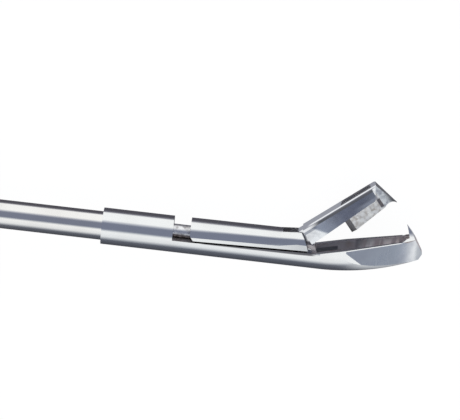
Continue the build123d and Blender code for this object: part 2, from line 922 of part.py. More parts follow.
# Screw the lever turns on, flush on both sides
with BuildPart() as lever_pivot_screw:
    with BuildSketch(shaft_origin_plane):
        with Locations((lever_pivot_x, lever_pivot_y)):
            Circle(screw_shank_radius)
    extrude(amount=handle_half, both=True)
    with BuildSketch(shaft_origin_plane.offset(handle_half - screw_head_height)):
        with Locations((lever_pivot_x, lever_pivot_y)):
            Circle(screw_head_radius)
    extrude(amount=screw_head_height)

# Bearing washers on both sides of the lever
with BuildPart() as lever_washers:
    with BuildSketch(shaft_origin_plane.offset(lever_half + washer_gap)):
        with Locations((lever_pivot_x, lever_pivot_y)):
            Circle(washer_radius)
            Circle(screw_shank_radius, mode=Mode.SUBTRACT)
    extrude(amount=slot_half - lever_half - washer_gap)
    mirror(about=shaft_origin_plane)

# Block at the rear end of the rod
with BuildPart() as rod_end_block:
    with BuildSketch(shaft_origin_plane):
        with Locations(((end_block_rear + end_block_front) / 2, (end_block_top + end_block_bottom) / 2)):
            RectangleRounded(end_block_front - end_block_rear, end_block_top - end_block_bottom, tongue_gap)
    extrude(amount=end_block_half, both=True)
    with BuildSketch(shaft_origin_plane):
        with Locations((end_block_rear, 0)):
            Rectangle(2 * (rod_rear_x - end_block_rear), 2 * clear)
    extrude(amount=tongue_half + fork_gap, both=True, mode=Mode.SUBTRACT)
    with BuildSketch(cross_plane(rod_rear_x)):
        with Locations((rod_offset, 0)):
            Circle(rod_radius)
    extrude(amount=end_block_front - rod_rear_x, mode=Mode.SUBTRACT)
    with BuildSketch(shaft_origin_plane):
        with Locations((drive_pin_x, rod_offset)):
            Circle(drive_pin_radius)
    extrude(amount=end_block_half, both=True, mode=Mode.SUBTRACT)

# Pin between lever and rod end
with BuildPart() as drive_pin:
    with BuildSketch(shaft_origin_plane):
        with Locations((drive_pin_x, rod_offset)):
            Circle(drive_pin_radius)
    extrude(amount=end_block_half, both=True)

# Lock nut of the rod
with BuildPart() as rod_lock_nut:
    with BuildSketch(cross_plane(end_block_front)):
        with Locations((rod_offset, 0)):
            RegularPolygon(lock_nut_flats / 2, 6, major_radius=False, rotation=0)
            Circle(rod_radius, mode=Mode.SUBTRACT)
    extrude(amount=lock_nut_thickness)

# Drive rod
with BuildPart() as drive_rod:
    with BuildSketch(cross_plane(rod_rear_x)):
        with Locations((rod_offset, 0)):
            Circle(rod_radius)
    extrude(amount=sleeve_rear_x + slider_rear + rod_socket_depth - rod_rear_x)
    with BuildSketch(side_plane):
        with Locations((cross_pin_position, cross_pin_height)):
            Circle(cross_pin_radius)
    extrude(amount=clear, both=True, mode=Mode.SUBTRACT)

# Guide bush of the rod in the sleeve
with BuildPart() as rod_guide_bush:
    with BuildSketch(tip_plane(tube_insert)):
        Circle(tube_radius)
        with Locations((rod_offset, 0)):
            Circle(rod_radius + rod_running_gap, mode=Mode.SUBTRACT)
    extrude(amount=bush_length)

# Outer tube
with BuildPart() as outer_tube:
    with BuildSketch(cross_plane(tube_rear_x)):
        Circle(tube_radius)
        Circle(tube_radius - tube_wall, mode=Mode.SUBTRACT)
    extrude(amount=sleeve_rear_x + tube_insert - tube_rear_x)

# Socket between head block and tube
with BuildPart() as shaft_socket:
    with BuildSketch(shaft_origin_plane):
        with BuildLine():
            Polyline(
                (head_front, tube_radius),
                (head_front, socket_radius),
                (head_front + socket_neck, socket_radius),
                (head_front + socket_length, socket_front_radius),
                (head_front + socket_length, tube_radius),
                close=True,
            )
        make_face()
    revolve(axis=Axis((0, 0, shaft_height), (1, 0, 0)))

# Set screw that holds the tube in the head block
with BuildPart() as shaft_set_screw:
    with BuildSketch(set_screw_plane):
        Circle(set_screw_radius)
    extrude(amount=head_top - set_screw_recess - tube_radius - washer_gap)

# Stop screw that limits the squeeze, and its lock nut
with BuildPart() as stop_screw:
    with BuildSketch(cross_plane(stop_rear)):
        with Locations((stop_y, 0)):
            Circle(stop_radius)
    extrude(amount=stop_reach - stop_rear)

with BuildPart() as stop_lock_nut:
    with BuildSketch(cross_plane(head_rear - stop_nut_thickness)):
        with Locations((stop_y, 0)):
            RegularPolygon(stop_nut_flats / 2, 6, major_radius=False)
            Circle(stop_radius, mode=Mode.SUBTRACT)
    extrude(amount=stop_nut_thickness)


# Plane on the inner edge of a shank: x runs up the edge, y points to the other handle
def leaf_plane(shank, top_half, length, side, foot_low):
    reach = length - ring_inner - ring_band / 2
    top = shank.from_local_coords((0, side * top_half, 0))
    low = shank.from_local_coords((reach, side * shank_bottom_half, 0))
    along = (top - low).normalized()
    start = top - along * foot_low
    return Plane(origin=start, x_dir=along, z_dir=(0, 0, -side))


# Bend that brings the tip of a leaf spring to its place beside the other tip
def leaf_bend(leaf, side, tip_x):
    along = side * leaf.x_dir.X
    across = side * leaf.y_dir.X
    travel = side * (tip_x - leaf.origin.X) - leaf_foot_length * along
    return math.atan2(across, along) + math.asin(travel / leaf_radius - across)


# Leaf spring: a flat foot that runs out in an arc
def leaf_outline(bend):
    foot = leaf_foot_length
    inner = leaf_radius - leaf_thickness
    with BuildSketch() as outline:
        with BuildLine():
            Polyline((foot, leaf_thickness), (0, leaf_thickness), (0, 0), (foot, 0))
            ThreePointArc(
                (foot, 0),
                (foot + leaf_radius * math.sin(bend / 2), leaf_radius * (1 - math.cos(bend / 2))),
                (foot + leaf_radius * math.sin(bend), leaf_radius * (1 - math.cos(bend))),
            )
            Line(
                (foot + leaf_radius * math.sin(bend), leaf_radius * (1 - math.cos(bend))),
                (foot + inner * math.sin(bend), leaf_radius - inner * math.cos(bend)),
            )
            ThreePointArc(
                (foot + inner * math.sin(bend), leaf_radius - inner * math.cos(bend)),
                (foot + inner * math.sin(bend / 2), leaf_radius - inner * math.cos(bend / 2)),
                (foot, leaf_thickness),
            )
        make_face()
    return outline.sketch


thumb_leaf_plane = leaf_plane(thumb_shank_plane, shank_top_half, thumb_shank_length, 1, thumb_foot_low)
lever_leaf_plane = leaf_plane(lever_shank_plane, lever_top_half, lever_shank_length, -1, lever_foot_low)
thumb_leaf_bend = leaf_bend(thumb_leaf_plane, 1, leaf_meet_x - leaf_tip_gap / 2)
lever_leaf_bend = leaf_bend(lever_leaf_plane, -1, leaf_meet_x + leaf_tip_gap / 2)


# Plane square to the shank's edge, at the leaf screw
def leaf_screw_plane(leaf, lift):
    origin = leaf.from_local_coords((leaf_screw_place, lift, 0))
    return Plane(origin=origin, x_dir=(0, 0, 1), z_dir=-leaf.y_dir)


with BuildPart() as fixed_leaf_spring:
    with BuildSketch(thumb_leaf_plane):
        add(leaf_outline(thumb_leaf_bend))
    extrude(amount=leaf_half, both=True)
    with BuildSketch(leaf_screw_plane(thumb_leaf_plane, leaf_thickness)):
        Circle(leaf_screw_radius)
    extrude(amount=leaf_thickness, mode=Mode.SUBTRACT)

with BuildPart() as lever_leaf_spring:
    with BuildSketch(lever_leaf_plane):
        add(leaf_outline(lever_leaf_bend))
    extrude(amount=leaf_half, both=True)
    with BuildSketch(leaf_screw_plane(lever_leaf_plane, leaf_thickness)):
        Circle(leaf_screw_radius)
    extrude(amount=leaf_thickness, mode=Mode.SUBTRACT)


# Screw of a leaf spring, its head on the leaf
def leaf_screw(leaf):
    with BuildPart() as screw:
        with BuildSketch(leaf_screw_plane(leaf, leaf_thickness + leaf_screw_head_height)):
            Circle(leaf_screw_head_radius)
        extrude(amount=leaf_screw_head_height)
        with BuildSketch(leaf_screw_plane(leaf, leaf_thickness)):
            Circle(leaf_screw_radius)
        extrude(amount=leaf_thickness + leaf_screw_depth)
    return screw.part


with BuildPart() as fixed_leaf_screw:
    add(leaf_screw(thumb_leaf_plane))

with BuildPart() as lever_leaf_screw:
    add(leaf_screw(lever_leaf_plane))


# Tapped holes for the leaf screws
with BuildPart() as fixed_handle_done:
    add(fixed_handle.part)
    with BuildSketch(leaf_screw_plane(thumb_leaf_plane, 0)):
        Circle(leaf_screw_radius)
    extrude(amount=leaf_screw_depth, mode=Mode.SUBTRACT)

with BuildPart() as lever_handle_done:
    add(lever_handle.part)
    with BuildSketch(leaf_screw_plane(lever_leaf_plane, 0)):
        Circle(leaf_screw_radius)
    extrude(amount=leaf_screw_depth, mode=Mode.SUBTRACT)

fixed_handle_done.part.label = "fixed_handle"
export_step(fixed_handle_done.part, "parts/fixed_handle.step")
lever_handle_done.part.label = "lever_handle"
export_step(lever_handle_done.part, "parts/lever_handle.step")
lever_pivot_screw.part.label = "lever_pivot_screw"
export_step(lever_pivot_screw.part, "parts/lever_pivot_screw.step")
lever_washers.part.label = "lever_washers"
export_step(lever_washers.part, "parts/lever_washers.step")
rod_end_block.part.label = "rod_end_block"
export_step(rod_end_block.part, "parts/rod_end_block.step")
drive_pin.part.label = "drive_pin"
export_step(drive_pin.part, "parts/drive_pin.step")
rod_lock_nut.part.label = "rod_lock_nut"
export_step(rod_lock_nut.part, "parts/rod_lock_nut.step")
drive_rod.part.label = "drive_rod"
export_step(drive_rod.part, "parts/drive_rod.step")
rod_guide_bush.part.label = "rod_guide_bush"
export_step(rod_guide_bush.part, "parts/rod_guide_bush.step")
outer_tube.part.label = "outer_tube"
export_step(outer_tube.part, "parts/outer_tube.step")
shaft_socket.part.label = "shaft_socket"
export_step(shaft_socket.part, "parts/shaft_socket.step")
shaft_set_screw.part.label = "shaft_set_screw"
export_step(shaft_set_screw.part, "parts/shaft_set_screw.step")
stop_screw.part.label = "stop_screw"
export_step(stop_screw.part, "parts/stop_screw.step")
stop_lock_nut.part.label = "stop_lock_nut"
export_step(stop_lock_nut.part, "parts/stop_lock_nut.step")
fixed_leaf_spring.part.label = "fixed_leaf_spring"
export_step(fixed_leaf_spring.part, "parts/fixed_leaf_spring.step")
lever_leaf_spring.part.label = "lever_leaf_spring"
export_step(lever_leaf_spring.part, "parts/lever_leaf_spring.step")
fixed_leaf_screw.part.label = "fixed_leaf_screw"
export_step(fixed_leaf_screw.part, "parts/fixed_leaf_screw.step")
lever_leaf_screw.part.label = "lever_leaf_screw"
export_step(lever_leaf_screw.part, "parts/lever_leaf_screw.step")
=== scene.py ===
import bpy
import json
import math
from mathutils import Matrix, Vector


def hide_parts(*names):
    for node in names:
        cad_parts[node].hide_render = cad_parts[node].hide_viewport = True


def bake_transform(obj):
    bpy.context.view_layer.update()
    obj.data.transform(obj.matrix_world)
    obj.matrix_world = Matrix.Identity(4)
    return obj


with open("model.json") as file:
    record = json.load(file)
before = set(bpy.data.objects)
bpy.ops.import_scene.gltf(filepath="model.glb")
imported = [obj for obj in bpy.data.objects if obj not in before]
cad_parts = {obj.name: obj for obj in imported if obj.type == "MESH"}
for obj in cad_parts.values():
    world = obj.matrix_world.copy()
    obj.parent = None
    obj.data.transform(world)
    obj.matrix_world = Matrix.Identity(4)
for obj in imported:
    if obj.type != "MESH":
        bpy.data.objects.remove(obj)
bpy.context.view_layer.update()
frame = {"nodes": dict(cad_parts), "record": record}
nodes = frame["nodes"]

# A millimetre in metres, and sizes shared with the solids in millimetres
MM = 0.001
SLEEVE_X = 152.0
SHAFT_Z = 3.7

# Share of the fine lines in the roughness (the clouds have the rest), and their height in metres
LINE_SHARE = 0.6
CLOUD_SHARE = 0.4
LINE_HEIGHT = 0.00002


# Shader helpers
def new_material(name):
    material = bpy.data.materials.new(name)
    material.use_nodes = True
    tree = material.node_tree
    tree.nodes.clear()
    out = tree.nodes.new("ShaderNodeOutputMaterial")
    shader = tree.nodes.new("ShaderNodeBsdfPrincipled")
    tree.links.new(shader.outputs["BSDF"], out.inputs["Surface"])
    return material, tree, shader


def math_node(tree, operation, a=None, b=None, clamp=False):
    node = tree.nodes.new("ShaderNodeMath")
    node.operation = operation
    node.use_clamp = clamp
    for index, value in enumerate((a, b)):
        if value is None:
            continue
        if isinstance(value, (int, float)):
            node.inputs[index].default_value = value
        else:
            tree.links.new(value, node.inputs[index])
    return node.outputs[0]


# Ground or polished steel: fine lines along one direction and soft stains
GROUP_INPUTS = {
    "Colour": "NodeSocketColor",
    "Stain": "NodeSocketColor",
    "Stain amount": "NodeSocketFloat",
    "Line scale": "NodeSocketVector",
    "Low roughness": "NodeSocketFloat",
    "High roughness": "NodeSocketFloat",
    "Cloud scale": "NodeSocketFloat",
}
GROUP_OUTPUTS = {
    "Base Color": "NodeSocketColor",
    "Roughness": "NodeSocketFloat",
    "Height": "NodeSocketFloat",
}


def steel_group():
    group = bpy.data.node_groups.new("worked_steel", "ShaderNodeTree")
    for name, kind in GROUP_INPUTS.items():
        group.interface.new_socket(name=name, in_out="INPUT", socket_type=kind)
    for name, kind in GROUP_OUTPUTS.items():
        group.interface.new_socket(name=name, in_out="OUTPUT", socket_type=kind)
    enter = group.nodes.new("NodeGroupInput")
    leave = group.nodes.new("NodeGroupOutput")
    where = group.nodes.new("ShaderNodeTexCoord")
    stretch = group.nodes.new("ShaderNodeVectorMath")
    stretch.operation = "MULTIPLY"
    group.links.new(where.outputs["Object"], stretch.inputs[0])
    group.links.new(enter.outputs["Line scale"], stretch.inputs[1])
    lines = group.nodes.new("ShaderNodeTexNoise")
    lines.inputs["Scale"].default_value = 1.0
    lines.inputs["Detail"].default_value = 4.0
    lines.inputs["Roughness"].default_value = 0.65
    group.links.new(stretch.outputs[0], lines.inputs["Vector"])
    clouds = group.nodes.new("ShaderNodeTexNoise")
    clouds.inputs["Detail"].default_value = 5.0
    group.links.new(where.outputs["Object"], clouds.inputs["Vector"])
    group.links.new(enter.outputs["Cloud scale"], clouds.inputs["Scale"])
    spots = group.nodes.new("ShaderNodeMapRange")
    spots.inputs["From Min"].default_value = 0.45
    spots.inputs["From Max"].default_value = 0.75
    group.links.new(clouds.outputs["Fac"], spots.inputs["Value"])
    stained = enter.outputs["Stain amount"]
    amount = math_node(group, "MULTIPLY", spots.outputs["Result"], stained, True)
    blend = group.nodes.new("ShaderNodeMix")
    blend.data_type = "RGBA"
    group.links.new(amount, blend.inputs["Factor"])
    group.links.new(enter.outputs["Colour"], blend.inputs["A"])
    group.links.new(enter.outputs["Stain"], blend.inputs["B"])
    group.links.new(blend.outputs["Result"], leave.inputs["Base Color"])
    line_part = math_node(group, "MULTIPLY", lines.outputs["Fac"], LINE_SHARE)
    cloud_part = math_node(group, "MULTIPLY", clouds.outputs["Fac"], CLOUD_SHARE)
    mixed = math_node(group, "ADD", line_part, cloud_part)
    rough = group.nodes.new("ShaderNodeMapRange")
    rough.inputs["From Min"].default_value = 0.3
    rough.inputs["From Max"].default_value = 0.7
    group.links.new(mixed, rough.inputs["Value"])
    group.links.new(enter.outputs["Low roughness"], rough.inputs["To Min"])
    group.links.new(enter.outputs["High roughness"], rough.inputs["To Max"])
    group.links.new(rough.outputs["Result"], leave.inputs["Roughness"])
    group.links.new(lines.outputs["Fac"], leave.inputs["Height"])
    return group


STEEL = steel_group()


# Mask helpers: a soft step, a straight change, a band with soft ends, and ways to combine them
def smooth(tree, value, low, high):
    node = tree.nodes.new("ShaderNodeMapRange")
    node.interpolation_type = "SMOOTHSTEP"
    node.inputs["From Min"].default_value = low
    node.inputs["From Max"].default_value = high
    tree.links.new(value, node.inputs["Value"])
    return node.outputs["Result"]


def span(tree, value, low, high, start, end):
    node = tree.nodes.new("ShaderNodeMapRange")
    for name, setting in (("From Min", low), ("From Max", high), ("To Min", start), ("To Max", end)):
        node.inputs[name].default_value = setting
    tree.links.new(value, node.inputs["Value"])
    return node.outputs["Result"]


def without(tree, mask):
    return math_node(tree, "SUBTRACT", 1.0, mask)


def band(tree, value, low, high, soft):
    rise = smooth(tree, value, low - soft, low + soft)
    fall = smooth(tree, value, high - soft, high + soft)
    return math_node(tree, "SUBTRACT", rise, fall, True)


def times(tree, *values):
    result = values[0]
    for value in values[1:]:
        result = math_node(tree, "MULTIPLY", result, value, True)
    return result


def either(tree, a, b):
    return math_node(tree, "MAXIMUM", a, b, True)


def weigh(tree, factor, a, b, kind="RGBA"):
    node = tree.nodes.new("ShaderNodeMix")
    node.data_type = kind
    for name, value in (("Factor", factor), ("A", a), ("B", b)):
        place = [i for i in node.inputs if i.name == name and i.enabled][0]
        if isinstance(value, (int, float)):
            place.default_value = value
        elif isinstance(value, tuple):
            place.default_value = (*value, 1)
        else:
            tree.links.new(value, place)
    return [o for o in node.outputs if o.enabled][0]


# Colours along a value, from stops in its own units
def ramp(tree, value, stops):
    low, high = stops[0][0], stops[-1][0]
    place = tree.nodes.new("ShaderNodeMapRange")
    place.inputs["From Min"].default_value = low
    place.inputs["From Max"].default_value = high
    tree.links.new(value, place.inputs["Value"])
    node = tree.nodes.new("ShaderNodeValToRGB")
    tree.links.new(place.outputs["Result"], node.inputs["Fac"])
    elements = node.color_ramp.elements
    while len(elements) > 1:
        elements.remove(elements[-1])
    elements[0].position = 0.0
    elements[0].color = (*stops[0][1], 1)
    for at, colour in stops[1:]:
        stop = elements.new(min(1.0, (at - low) / (high - low)))
        stop.color = (*colour, 1)
    return node.outputs["Color"]


# One steel material: a base look, other looks laid over it by masks, and leans of its surface
class Finish:
    def __init__(self, name, look, bump):
        self.material, self.tree, self.shader = new_material(name)
        self.shader.inputs["Metallic"].default_value = 1.0
        self.bump = bump
        self.spot = None
        self.metal = None
        self.leans = []
        self.colour, self.rough, self.height = self.worked(look)

    def worked(self, look):
        colour, stain, amount, lines, low, high, cloud = look
        node = self.tree.nodes.new("ShaderNodeGroup")
        node.node_tree = STEEL
        if isinstance(colour, tuple):
            node.inputs["Colour"].default_value = (*colour, 1)
        else:
            self.tree.links.new(colour, node.inputs["Colour"])
        node.inputs["Stain"].default_value = (*stain, 1)
        node.inputs["Stain amount"].default_value = amount
        node.inputs["Line scale"].default_value = lines
        node.inputs["Low roughness"].default_value = low
        node.inputs["High roughness"].default_value = high
        node.inputs["Cloud scale"].default_value = cloud
        return node.outputs["Base Color"], node.outputs["Roughness"], node.outputs["Height"]

    # Place on the tip in millimetres from the sleeve's rear end, and the surface's direction
    def places(self):
        tree = self.tree
        where = tree.nodes.new("ShaderNodeTexCoord")
        shift = tree.nodes.new("ShaderNodeVectorMath")
        shift.operation = "SUBTRACT"
        shift.inputs[1].default_value = (SLEEVE_X * MM, 0, SHAFT_Z * MM)
        tree.links.new(where.outputs["Object"], shift.inputs[0])
        size = tree.nodes.new("ShaderNodeVectorMath")
        size.operation = "SCALE"
        size.inputs["Scale"].default_value = 1 / MM
        tree.links.new(shift.outputs[0], size.inputs[0])
        spread = tree.nodes.new("ShaderNodeSeparateXYZ")
        tree.links.new(size.outputs[0], spread.inputs[0])
        facing = tree.nodes.new("ShaderNodeSeparateXYZ")
        tree.links.new(where.outputs["Normal"], facing.inputs[0])
        self.spot = size.outputs[0]
        return [*spread.outputs, *facing.outputs]

    # Distance along a direction, less an offset
    def along(self, direction, offset=0.0):
        node = self.tree.nodes.new("ShaderNodeVectorMath")
        node.operation = "DOT_PRODUCT"
        node.inputs[1].default_value = direction
        self.tree.links.new(self.spot, node.inputs[0])
        return math_node(self.tree, "SUBTRACT", node.outputs["Value"], offset)

    def noise(self, scale, low, high, stretch):
        size = self.tree.nodes.new("ShaderNodeVectorMath")
        size.operation = "MULTIPLY"
        size.inputs[1].default_value = stretch
        self.tree.links.new(self.spot, size.inputs[0])
        node = self.tree.nodes.new("ShaderNodeTexNoise")
        node.inputs["Scale"].default_value = scale
        node.inputs["Detail"].default_value = 4.0
        self.tree.links.new(size.outputs[0], node.inputs["Vector"])
        return smooth(self.tree, node.outputs["Fac"], low, high)

    def blend_of(self, first, second, share):
        part = math_node(self.tree, "MULTIPLY", second, share)
        return math_node(self.tree, "ADD", first, part)

    def facing_along(self, direction):
        where = self.tree.nodes.new("ShaderNodeTexCoord")
        node = self.tree.nodes.new("ShaderNodeVectorMath")
        node.operation = "DOT_PRODUCT"
        node.inputs[1].default_value = direction
        self.tree.links.new(where.outputs["Normal"], node.inputs[0])
        return node.outputs["Value"]

    def lay(self, mask, look):
        colour, rough, height = self.worked(look)
        self.colour = weigh(self.tree, mask, self.colour, colour)
        self.rough = weigh(self.tree, mask, self.rough, rough, "FLOAT")
        self.height = weigh(self.tree, mask, self.height, height, "FLOAT")

    def dull(self, mask, metal):
        before = 1.0 if self.metal is None else self.metal
        self.metal = weigh(self.tree, mask, before, metal, "FLOAT")

    # Tilt the surface's direction where the mask is, so that it mirrors another strip
    def lean(self, mask, direction):
        node = self.tree.nodes.new("ShaderNodeVectorMath")
        node.operation = "SCALE"
        node.inputs[0].default_value = direction
        self.tree.links.new(mask, node.inputs["Scale"])
        self.leans.append(node.outputs[0])

    def close(self):
        tree = self.tree
        relief = tree.nodes.new("ShaderNodeBump")
        relief.inputs["Strength"].default_value = self.bump
        relief.inputs["Distance"].default_value = LINE_HEIGHT
        tree.links.new(self.height, relief.inputs["Height"])
        if self.leans:
            total = self.leans[0]
            for other in self.leans[1:]:
                node = tree.nodes.new("ShaderNodeVectorMath")
                tree.links.new(total, node.inputs[0])
                tree.links.new(other, node.inputs[1])
                total = node.outputs[0]
            carry = tree.nodes.new("ShaderNodeVectorTransform")
            carry.vector_type = "VECTOR"
            carry.convert_from = "OBJECT"
            carry.convert_to = "WORLD"
            tree.links.new(total, carry.inputs[0])
            facing = tree.nodes.new("ShaderNodeNewGeometry")
            both = tree.nodes.new("ShaderNodeVectorMath")
            tree.links.new(facing.outputs["Normal"], both.inputs[0])
            tree.links.new(carry.outputs[0], both.inputs[1])
            unit = tree.nodes.new("ShaderNodeVectorMath")
            unit.operation = "NORMALIZE"
            tree.links.new(both.outputs[0], unit.inputs[0])
            tree.links.new(unit.outputs[0], relief.inputs["Normal"])
        if self.metal is not None:
            tree.links.new(self.metal, self.shader.inputs["Metallic"])
        tree.links.new(self.colour, self.shader.inputs["Base Color"])
        tree.links.new(self.rough, self.shader.inputs["Roughness"])
        tree.links.new(relief.outputs["Normal"], self.shader.inputs["Normal"])
        return self.material


# Line scales: grinding lines run along the direction with the small number
ALONG = (70.0, 3000.0, 3000.0)
ACROSS = (3000.0, 90.0, 900.0)
ANYWAY = (900.0, 900.0, 900.0)
UPRIGHT = (2600.0, 160.0, 160.0)
DOWNWARD = (500.0, 120.0, 120.0)

# Colours of stains
WARM = (0.42, 0.38, 0.34)
BROWN = (0.30, 0.25, 0.22)
SMOKE = (0.20, 0.19, 0.21)

# Looks: colour, stain, stain amount, line scale, low and high roughness, cloud scale.
# The four that start with their stain get their colour where they are laid
POLISHED = ((0.86, 0.87, 0.88), WARM, 0.10, ALONG, 0.10, 0.17, 180.0)
FACET = ((0.42, 0.44, 0.50), 0.45, UPRIGHT, 0.24, 0.34, 420.0)
# painted highlight for the bright line under the rim of the wall
RIM_HIGHLIGHT = ((0.95, 0.96, 0.97), WARM, 0.1, UPRIGHT, 0.12, 0.2, 420.0)
HOLLOW = ((0.34, 0.25, 0.22), 0.60, DOWNWARD, 0.30, 0.50, 620.0)
HOLLOW_STREAKS = ((0.56, 0.50, 0.52), BROWN, 0.4, DOWNWARD, 0.30, 0.50, 620.0)
# painted shade for the pocket deep in the hollow
POCKET_SHADE = ((0.16, 0.17, 0.19), BROWN, 0.1, ANYWAY, 0.4, 0.6, 400.0)
SEAM_SHADE = ((0.17, 0.17, 0.19), BROWN, 0.2, ALONG, 0.2, 0.3, 500.0)
NOTCH_FLOOR = ((0.42, 0.39, 0.39), (0.16, 0.13, 0.12), 0.9, ANYWAY, 0.3, 0.5, 900.0)
EARS = ((0.70, 0.64, 0.62), BROWN, 0.5, UPRIGHT, 0.35, 0.5, 600.0)
SLIDER_END_AND_UNDER_SHADE = ((0.12, 0.12, 0.13), BROWN, 0.4, ANYWAY, 0.3, 0.5, 500.0)
SLIDER_SLOT = ((0.60, 0.59, 0.62), (0.10, 0.09, 0.09), 0.9, ANYWAY, 0.3, 0.5, 1200.0)
JAW = ((0.84, 0.85, 0.87), WARM, 0.12, ANYWAY, 0.14, 0.22, 300.0)
JAW_WALL = (SMOKE, 0.35, ANYWAY, 0.20, 0.30, 600.0)
WALL_SHADOW = ((0.46, 0.48, 0.53), SMOKE, 0.3, ANYWAY, 0.20, 0.30, 600.0)
WALL_GLOW = ((0.74, 0.76, 0.80), (0.30, 0.29, 0.31), 0.4, ANYWAY, 0.20, 0.34, 600.0)
PUNCH = ((0.78, 0.78, 0.78), (0.40, 0.34, 0.28), 0.9, ANYWAY, 0.22, 0.42, 1500.0)
PUNCH_REAR_SHADE = ((0.09, 0.08, 0.09), (0.20, 0.16, 0.15), 0.7, ANYWAY, 0.3, 0.5, 900.0)
WALL_END = ((0.40, 0.41, 0.46), SMOKE, 0.5, ANYWAY, 0.20, 0.30, 600.0)
PROW_CORNER = ((0.13, 0.13, 0.15), (0.34, 0.29, 0.27), 0.8, ANYWAY, 0.3, 0.45, 1600.0)
PROW = ((0.98, 1.0, 1.0), (0.36, 0.38, 0.44), 1.0, ANYWAY, 0.20, 0.34, 1500.0)
PROW_TIP = ((0.12, 0.12, 0.13), BROWN, 0.2, ANYWAY, 0.2, 0.3, 700.0)
RIDGE_HIGHLIGHT = ((0.90, 0.91, 0.93), WARM, 0.1, ANYWAY, 0.12, 0.2, 400.0)
CHAMFER = (SMOKE, 0.3, ANYWAY, 0.20, 0.30, 600.0)
CHAMFER_LOW = (0.10, 0.105, 0.12)
CHAMFER_HIGH = (0.22, 0.225, 0.26)
WINDOW_WALL = ((0.92, 0.92, 0.94), (0.40, 0.38, 0.37), 0.8, ANYWAY, 0.3, 0.5, 900.0)
# painted shade beside the window
WINDOW_SHADE = ((0.12, 0.12, 0.14), (0.36, 0.29, 0.24), 0.6, ANYWAY, 0.22, 0.36, 1300.0)
ROD = ((0.88, 0.88, 0.90), (0.26, 0.24, 0.25), 1.0, ANYWAY, 0.26, 0.42, 1300.0)
# painted shade for the rod's underside
ROD_UNDERSIDE_SHADE = ((0.50, 0.46, 0.45), (0.15, 0.12, 0.11), 1.0, ANYWAY, 0.3, 0.5, 1500.0)

# Lower body: places in millimetres from the sleeve's rear end and heights over the shaft's middle.
# Two numbers are a soft step or an extent, and three are an extent with the softness of its ends.
# A step called FACING is in the part of the surface's direction that it names, from -1 to 1
FACET_STEP = (42.0, 42.3)
FACET_FACING_AHEAD = (0.07, 0.10)
FACET_FACING_SIDE = (0.86, 0.90)
FACET_FACING_UP = (0.02, 0.10)
OUTER_SIDE = (0.0, 0.1)
FACET_BORDER = (42.5, 1.06)
FACET_BORDER_SLOPE = 1.55
FACET_BORDER_STEP = (-0.10, 0.06)
FIRST_FACE_END = (50.9, 52.6)
NOSE = (52.5, 55.0)
NOSE_FACING_AHEAD = (0.24, 0.30)
RIM_START = (37.2, 0.32)
RIM_RISE = math.tan(math.radians(13.73))
# where the painted highlight under the rim lies
RIM_HIGHLIGHT_STEP = (-0.22, -0.14)
RIM_HIGHLIGHT_START = (42.3, 42.5)
RIM_HIGHLIGHT_END = (52.6, 53.2)
HOLLOW_STEP = (36.95, 37.1)
HOLLOW_HALF = (2.28, 2.36)
HOLLOW_TOP = (-0.10, -0.03)
INNER_SIDE = (-0.12, -0.04)
HOLLOW_FACING_UP = (0.15, 0.25)
HOLLOW_DEPTH = (-1.3, -0.3)
HOLLOW_SHADES = (1.15, 0.62)
HOLLOW_SHADE_STEP = (44.0, 45.5)
STREAKS_STEP = (44.9, 46.0)
STREAKS_SCALE = 1.1
STREAKS_SPREAD = (0.44, 0.58)
STREAKS_STRETCH = (1, 0.08, 0.08)
POCKET_PLACE = (36.9, 41.1, 0.08)
POCKET_DEPTH = (-1.5, -0.8, 0.1)
SEAM_PLACE = (17.5, 36.9, 0.6)
SEAM_STEP = (-0.14, 0.06)
RAIL_START = (15.8, -0.16)
RAIL_RISE = 0.57 / 20.0
SEAM_SHADE_PLACE = (18.0, 34.0)
SEAM_SHADE_WIDTH = (0.02, 0.42)
NOTCH_PLACE = (11.9, 16.3, 0.05)
NOTCH_FACING_UP = (0.85, 0.95)
NOTCH_FLOOR_LOW = (-1.9, -1.7)
NOTCH_FLOOR_HIGH = (1.2, 1.4)
EARS_PLACE = (34.3, 37.3, 0.08)
EARS_HALF = (2.14, 2.2)
EARS_LOW = (-1.2, -0.9)

# Leans of the lower body's surface: how far its direction is tilted along the tip
SIDE_LEAN = -0.117
FIRST_FACE_LEAN = 0.085
NOSE_LEAN = (0.205, 0.0)
RIM_LEAN = -0.12

# Tones of the ground facet along the tip: its own grey, then a painted highlight and painted shade
# where it rounds over to the nose
FACET_TONES_WITH_NOSE_SHADING = (
    (42.0, (0.56, 0.58, 0.62)),
    (50.8, (0.66, 0.69, 0.72)),
    (52.4, (0.86, 0.87, 0.88)),
    (54.1, (1.0, 1.0, 1.0)),
    (54.7, (0.62, 0.64, 0.67)),
    (56.0, (0.50, 0.52, 0.56)),
)
# Painted light and shade along the hollow between the walls, with a warm tint towards the nose
HOLLOW_LIGHT_AND_SHADE = (
    (36.0, (0.50, 0.49, 0.52)),
    (43.9, (0.52, 0.50, 0.53)),
    (44.3, (0.30, 0.29, 0.32)),
    (44.9, (0.50, 0.50, 0.54)),
    (47.0, (1.0, 0.99, 1.0)),
    (52.0, (1.0, 0.90, 0.88)),
    (56.0, (0.62, 0.54, 0.53)),
)
